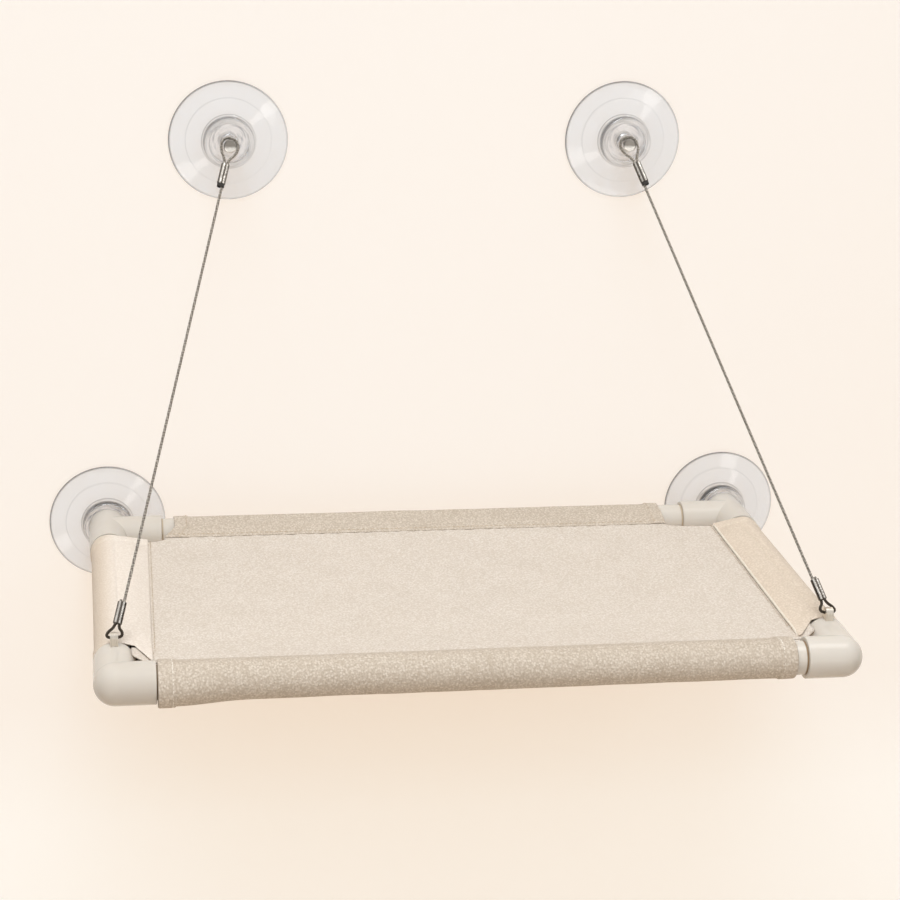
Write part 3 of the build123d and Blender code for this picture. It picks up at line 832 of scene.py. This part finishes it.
def deck_height(x, y, from_side, from_end):
    middle, half_depth = (DECK_REAR_Y + DECK_FRONT_Y) / 2, (DECK_REAR_Y - DECK_FRONT_Y) / 2
    sag_across = 1 - abs(x / SEAM_FRONT_X) ** SAG_SQUARENESS
    sag_along = 1 - abs((y - middle) / half_depth) ** SAG_SQUARENESS
    height = SEAM_HEIGHT + SEAM_LIFT - DECK_SAG * max(0, sag_across * sag_along)
    height += TAB_SLOPE * max(0, abs(x) - seam_x(-1 if x < 0 else 1, y))
    loose = smooth_step(min(from_side, from_end) / LOOSE_FROM_EDGE)
    height += loose * DECK_SWELL * ripple(Vector((x / SWELL_STRETCH, y, 0)) / SWELL_LENGTH)
    height += loose * DECK_RIPPLE * ripple(Vector((x, y, 3)) / RIPPLE_LENGTH)
    height += END_PUCKER * puckers(x, END_PUCKER_PITCH, Vector((x, 0, 7)), from_end, from_side)
    return height + SIDE_PUCKER * puckers(y, SIDE_PUCKER_PITCH, Vector((0, y, 5)), from_side, from_end)


def deck_rows():
    steps = [DECK_REAR_Y - depth * MM for depth in REAR_STEPS]
    last = steps[-1]
    steps += [last + (TABS_FROM - last) * step / DECK_ALONG for step in range(1, DECK_ALONG + 1)]
    steps += [TABS_FROM - depth * MM for depth in TAB_STEPS]
    rows = []
    for y in steps:
        left, right = -deck_edge(-1, y), deck_edge(1, y)
        row = []
        for step in range(DECK_ACROSS + 1):
            share = step / DECK_ACROSS
            crowded = 0.8 * share + 0.1 * (1 - cos(pi * share))
            x = left + (right - left) * crowded
            from_side, from_end = min(x - left, right - x), min(DECK_REAR_Y - y, y - DECK_FRONT_Y)
            row.append((Vector((x, y, deck_height(x, y, from_side, from_end))), (x, y)))
        rows.append(row)
    return rows


def stitch_tree():
    tree, given = geometry_tree("stitch_row", [
        ("Pitch", "Float"), ("Length", "Float"), ("Radius", "Float"), ("Seed", "Int")])
    curve = node(tree, "GeometryNodeMeshToCurve", {"Mesh": given["Line"]})
    even = node(tree, "GeometryNodeCurveToPoints", {"Curve": curve, "Length": given["Pitch"]},
                mode="LENGTH").outputs
    ball = node(tree, "GeometryNodeMeshUVSphere", {"Segments": 6, "Rings": 5, "Radius": 1.0})
    half = times(tree, given["Length"], 0.5)
    size = node(tree, "ShaderNodeCombineXYZ", {X: half, Y: given["Radius"], Z: given["Radius"]})
    turn = node(tree, "FunctionNodeAlignRotationToVector", {"Vector": even["Tangent"]}, axis="X")
    spread = node(tree, "FunctionNodeRandomValue", {2: 0.8, 3: 1.15, "Seed": given["Seed"]},
                  data_type="FLOAT").outputs[1]
    size = vector_sums(tree, "SCALE", size, scale=spread)
    sewn = node(tree, "GeometryNodeInstanceOnPoints",
                {"Points": even["Points"], "Instance": ball, "Rotation": turn, "Scale": size})
    end_tree(tree, sewn, given["Finish"])
    return tree


stitch_row = stitch_tree()
STITCH_SEED = 3
SEAM_STITCH_AT, SEAM_STITCH_LIFT, HEM_STITCH_LIFT = 3.6 * MM, 0.15 * MM, 0.45 * MM
SHORT_ROWS = 3


def stitches(name, lines, pitch, length, radius, finish):
    points, edges = [], []
    for line in lines:
        edges += [(len(points) + step, len(points) + step + 1) for step in range(len(line) - 1)]
        points += line
    mesh = bpy.data.meshes.new(name)
    mesh.from_pydata(points, edges, [])
    return grown(linked(name, mesh), stitch_row, {
        "Pitch": pitch, "Length": length, "Radius": radius, "Seed": STITCH_SEED, "Finish": finish})


def seam_line(rows):
    """The points along a sleeve beside its seam, a little above its face and short of its ends."""
    runs = [so_far for _, (_, so_far) in rows[len(rows) // 2]]
    nearest = min(range(len(runs)), key=lambda index: abs(runs[index] - SEAM_STITCH_AT))
    return [row[nearest][0] + Vector((0, 0, SEAM_STITCH_LIFT)) for row in rows[SHORT_ROWS:-SHORT_ROWS]]


def hem_lines(rows, start, run):
    """The points round both hems at their stitching, a little outside the cloth's face."""
    index = END_STATIONS.index(HEM_STITCH)
    lines = []
    for row in (rows[index], rows[-1 - index]):
        line = []
        for point, _ in row:
            on_axis = start + run * (point - start).dot(run)
            line.append(point + (point - on_axis).normalized() * HEM_STITCH_LIFT)
        lines.append(line)
    return lines


def add_sheet(name, rows, finish, thickness, outward, flat, replaced, riders):
    sheet = sheet_piece(name, rows, finish, thickness, outward)
    for piece in (sheet, *riders):
        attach(piece, "frame")
    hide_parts(replaced)


def profile_length(inset):
    return drop_profile(inset)[2][-1]


def add_deck():
    rows = deck_rows()
    lines = []
    for sign, edge in ((-1, 0), (1, -1)):
        points = [row[edge][0] for row in rows]
        points = [point for point in points if SIDE_FRONT_Y - 12 * MM < point.y < SIDE_REAR_Y - 2 * MM]
        lines.append([Vector((sign * (seam_x(sign, point.y) - 2.6 * MM), point.y, point.z + 0.35 * MM))
                      for point in points])
    sewn = stitches("side_seam_stitches", lines, *DECK_STITCHES)
    flat = (2 * SEAM_FRONT_X, DECK_REAR_Y - DECK_FRONT_Y)
    add_sheet("deck_cloth", rows, deck_weave, DECK_THICKNESS, Vector((0, 0, 1)), flat,
              "sling_panel", (sewn,))


def add_cross_sleeve(name, y, inward, inset, fullness, sweep, hem_stitches, flare=0):
    left, right = cad_span(name + "_sleeve", X)
    start, run = Vector((left, y, 0)), Vector((1, 0, 0))
    rows = sleeve_rows(start, run, Vector((0, inward, 0)), right - left, (inset, inset), fullness, sweep,
                       flare)
    hems = stitches(name + "_hem_stitches", hem_lines(rows, start, run), *hem_stitches)
    seam = stitches(name + "_seam_stitches", [seam_line(rows)], *SEAM_STITCHES)
    add_sheet(name + "_sleeve_cloth", rows, shaded_roll_weave, CLOTH, Vector((0, -inward, 0)),
              (right - left, profile_length(inset)), name + "_sleeve", (hems, seam))


def add_side_sleeve(side, sign):
    length = SIDE_REAR_Y - SIDE_FRONT_Y
    start, run = Vector((sign * RAIL_X, SIDE_FRONT_Y, 0)), Vector((0, 1, 0))
    insets = (RAIL_X - SEAM_FRONT_X, RAIL_X - SEAM_REAR_X[sign])
    rows = sleeve_rows(start, run, Vector((-sign, 0, 0)), length, insets, SIDE_FULLNESS, SIDE_SWEEP[sign])
    hems = stitches(side + "_hem_stitches", hem_lines(rows, start, run), *SIDE_HEM_STITCHES)
    add_sheet(side + "_sleeve_cloth", rows, right_weave if sign > 0 else lit_left_weave, CLOTH,
              Vector((sign, 0, 0)), (length, profile_length(insets[0])),
              side + "_sleeve", (hems,))


PIPING_RADIUS = {-1: 0.8 * MM, 1: 1.05 * MM}
PIPING_RISE = {-1: -0.35 * MM, 1: 0.75 * MM}
PIPING_STEPS = 12


def add_piping(side, sign):
    """Corded edge along the side seam; its ends dip into the corners."""
    top = SEAM_HEIGHT + CLOTH + PIPING_RISE[sign]
    front, rear = DECK_FRONT_Y + 8 * MM, SIDE_REAR_Y - 1 * MM
    path = [(front - 3 * MM, top - 1.6 * MM), (front, top - 0.6 * MM), (front + 5 * MM, top)]
    for step in range(1, PIPING_STEPS):
        unevenness = 0.15 * MM * ripple(Vector((step * 0.7, sign, 0)))
        path.append((front + (rear - front) * step / PIPING_STEPS, top + unevenness))
    path += [(rear - 5 * MM, top), (rear - 1 * MM, top - 0.6 * MM), (rear + 1 * MM, top - 1.8 * MM)]
    line = spline_line(side + "_piping_line", [(sign * seam_x(sign, y), y, z) for y, z in path])
    curve, _ = spatial_curve(side + "_piping", "POLY", [vertex.co for vertex in line.vertices])
    curve.bevel_depth, curve.bevel_resolution, curve.use_fill_caps = PIPING_RADIUS[sign], 4, True
    mesh = curve_mesh(side + "_piping_cord", curve)
    mesh.polygons.foreach_set("use_smooth", [True] * len(mesh.polygons))
    mesh.materials.clear()
    mesh.materials.append(piping_weave)
    piping = linked(side + "_piping_cloth", mesh)
    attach(piping, "frame")
    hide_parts(side + "_piping")


def add_sling():
    add_deck()
    add_cross_sleeve("front", FRONT_Y, 1, FRONT_INSET, FRONT_FULLNESS, FRONT_SWEEP, FRONT_HEM_STITCHES,
                     FRONT_FLARE)
    add_cross_sleeve("rear", REAR_Y, -1, REAR_INSET, REAR_FULLNESS, REAR_SWEEP, REAR_HEM_STITCHES)
    for side, sign in SIDES:
        add_side_sleeve(side, sign)
        add_piping(side, sign)


add_sling()


# Stage: a pale wall behind the cups, a pale floor far below, and soft studio light
WALL_COLOUR, FLOOR_COLOUR = (0.62, 0.57, 0.5, 1), (0.7, 0.6, 0.5, 1)  # as other things see them
# for the camera: lit colour, light added, and more light painted on low down where the shadow below the perch
# should fade
WALL_SHOWN = ((0.33, 0.48, 0.6, 1), (0.684, 0.486, 0.328, 1), (0.724, 0.552, 0.405, 1))
FLOOR_SHOWN = (FLOOR_COLOUR, (0.17, 0.24, 0.3, 1), (0.17, 0.24, 0.3, 1))
PAINTED_LIFT_FROM, PAINTED_LIFT_FULL = -0.17, -0.3  # heights between which painted light lifts the wall's lower part
WALL_GAP = 1.0 * MM
STAGE_SIZE = 6.0
FLOOR_HEIGHT = -0.75
LAMPS = [  # place, aim, length of a side, watts and colour
    ("key", (-0.6, -1.6, 4.2), (0, -0.2, 0.1), 2.4, 103, (0.97, 0.985, 1)),
    ("front", (-0.15, -2.1, 1.35), (0, 0, 0), 0.5, 5, (1, 1, 1))]


def lookers(tree):
    """Whether the camera looks, and whether a polished or clear thing does."""
    path = node(tree, "ShaderNodeLightPath").outputs
    return path["Is Camera Ray"], sums(tree, "MAXIMUM", path["Is Glossy Ray"], path["Is Transmission Ray"])


def stage_plane(name, place_at, turn, colour, shown, see_through):
    """A flat backdrop; shown is for the camera: its lit colour, the light added, and painted light added low down.
    """
    lit, added, painted_low_lift = shown
    made, tree, shader = material(name)
    seen = sums(tree, "MAXIMUM", *lookers(tree))
    set_sockets(tree, shader, Base_Color=between(tree, seen, colour, lit), Roughness=0.95,
                Specular_IOR_Level=0.1)
    # painted light: more glow on the wall's lower part
    low = ramp(tree, axes_of(tree, place(tree))[Z], PAINTED_LIFT_FROM, PAINTED_LIFT_FULL)
    glow = node(tree, "ShaderNodeEmission",
                {"Color": between(tree, low, added, painted_low_lift), "Strength": seen})
    surface = node(tree, "ShaderNodeAddShader", {0: shader, 1: glow})
    if see_through:
        back = node(tree, "ShaderNodeNewGeometry").outputs["Backfacing"]
        clear = node(tree, "ShaderNodeBsdfTransparent")
        surface = node(tree, "ShaderNodeMixShader", {0: back, 1: surface, 2: clear})
    put(tree, tree.nodes["Material Output"].inputs["Surface"], surface)
    mesh = bpy.data.meshes.new(name)
    half = STAGE_SIZE / 2
    corners = [(-half, -half, 0), (half, -half, 0), (half, half, 0), (-half, half, 0)]
    mesh.from_pydata([turn @ Vector(corner) + Vector(place_at) for corner in corners], [], [(0, 1, 2, 3)])
    mesh.materials.append(made)
    plane = linked(name, mesh)
    plane.visible_glossy = see_through


def add_lamp(name, place_at, aim, size, watts, colour):
    data = bpy.data.lights.new(name, "AREA")
    data.shape, data.size = "SQUARE", size
    data.energy, data.color = watts, colour
    lamp = linked(name, data)
    ahead = Vector(aim) - Vector(place_at)
    lamp.matrix_world = Matrix.Translation(place_at) @ ahead.to_track_quat("-Z", "Y").to_matrix().to_4x4()
    lamp.visible_glossy = False


# World: even soft light on dull things; polished ones see dark flanks, softboxes and a strip overhead
SKY_SHOWN = paint(253, 246, 238)
WARM_LIGHT, COOL_LIGHT = (1, 0.955, 0.9, 1), (0.985, 0.968, 0.95, 1)  # from below and from above
LIGHT_LOW, LIGHT_HIGH = 0.44, 0.92
SOFT_FLANK, SHINY_FLANK = 0.35, 0.08  # share of light left at the far sides
SHINY_LEAST = 0.8
SOFTBOXES = [  # along and across a diagonal of the view: middle, half size; and brightness
    (0.33, 0.25, 0.215, 0.042, 2.3),
    (-0.47, 0.2, 0.12, 0.05, 2.4)]
STRIP_LIGHT = (0.38, 0.1, 5.5)  # overhead: middle and half size to the right, and brightness


def softbox_light(tree, axes):
    """Brightness of the softboxes in front and of the strip overhead, by direction."""
    in_front = ramp(tree, axes[Y], -0.6, -0.7)
    rising = times(tree, sums(tree, "ADD", axes[X], axes[Z]), sqrt(0.5))
    falling = times(tree, sums(tree, "SUBTRACT", axes[X], axes[Z]), sqrt(0.5))
    middle, half, brightness = STRIP_LIGHT
    strip = times(tree, band(tree, axes[X], middle, half, 0.03), ramp(tree, axes[Z], 0.88, 0.92))
    light = times(tree, strip, brightness)
    for along, half_along, across, half_across, brightness in SOFTBOXES:
        box = times(tree, band(tree, rising, along, half_along, 0.02),
                    band(tree, falling, across, half_across, 0.015))
        box = times(tree, box, in_front)
        light = sums(tree, "ADD", light, times(tree, box, brightness))
    return light


def add_world():
    world = bpy.data.worlds.new("studio")
    bpy.context.scene.world = world
    world.use_nodes = True
    tree = world.node_tree
    axes = axes_of(tree, place(tree, 1.0, "Generated"))
    sideways = sums(tree, "ABSOLUTE", axes[X])
    even = ramp(tree, axes[Z], -0.1, 0.75, LIGHT_LOW, LIGHT_HIGH)
    soft = times(tree, even, ramp(tree, sideways, 0.7, 0.9, 1.0, SOFT_FLANK))
    shiny = times(tree, sums(tree, "MAXIMUM", even, SHINY_LEAST),
                  ramp(tree, sideways, 0.55, 0.8, 1.0, SHINY_FLANK))
    shiny = sums(tree, "ADD", shiny, softbox_light(tree, axes))
    camera, polished = lookers(tree)
    sky = tree.nodes["Background"]
    put(tree, sky.inputs["Color"], between(tree, ramp(tree, axes[Z], -0.2, 0.6), WARM_LIGHT, COOL_LIGHT))
    put(tree, sky.inputs["Strength"], between(tree, polished, soft, shiny))
    pale = node(tree, "ShaderNodeBackground", {"Color": SKY_SHOWN, "Strength": 1.0})
    mixed = node(tree, "ShaderNodeMixShader", {0: camera, 1: sky, 2: pale})
    put(tree, tree.nodes["World Output"].inputs["Surface"], mixed)


def add_stage():
    upright, flat = Matrix.Rotation(pi / 2, 3, "X"), Matrix.Identity(3)
    stage_plane("wall", (0, WALL_GAP, 0), upright, WALL_COLOUR, WALL_SHOWN, True)
    stage_plane("floor", (0, -STAGE_SIZE / 2, FLOOR_HEIGHT), flat, FLOOR_COLOUR, FLOOR_SHOWN, False)
    for lamp in LAMPS:
        add_lamp(*lamp)
    add_world()
    bpy.context.scene.view_settings.view_transform = "Standard"


add_stage()
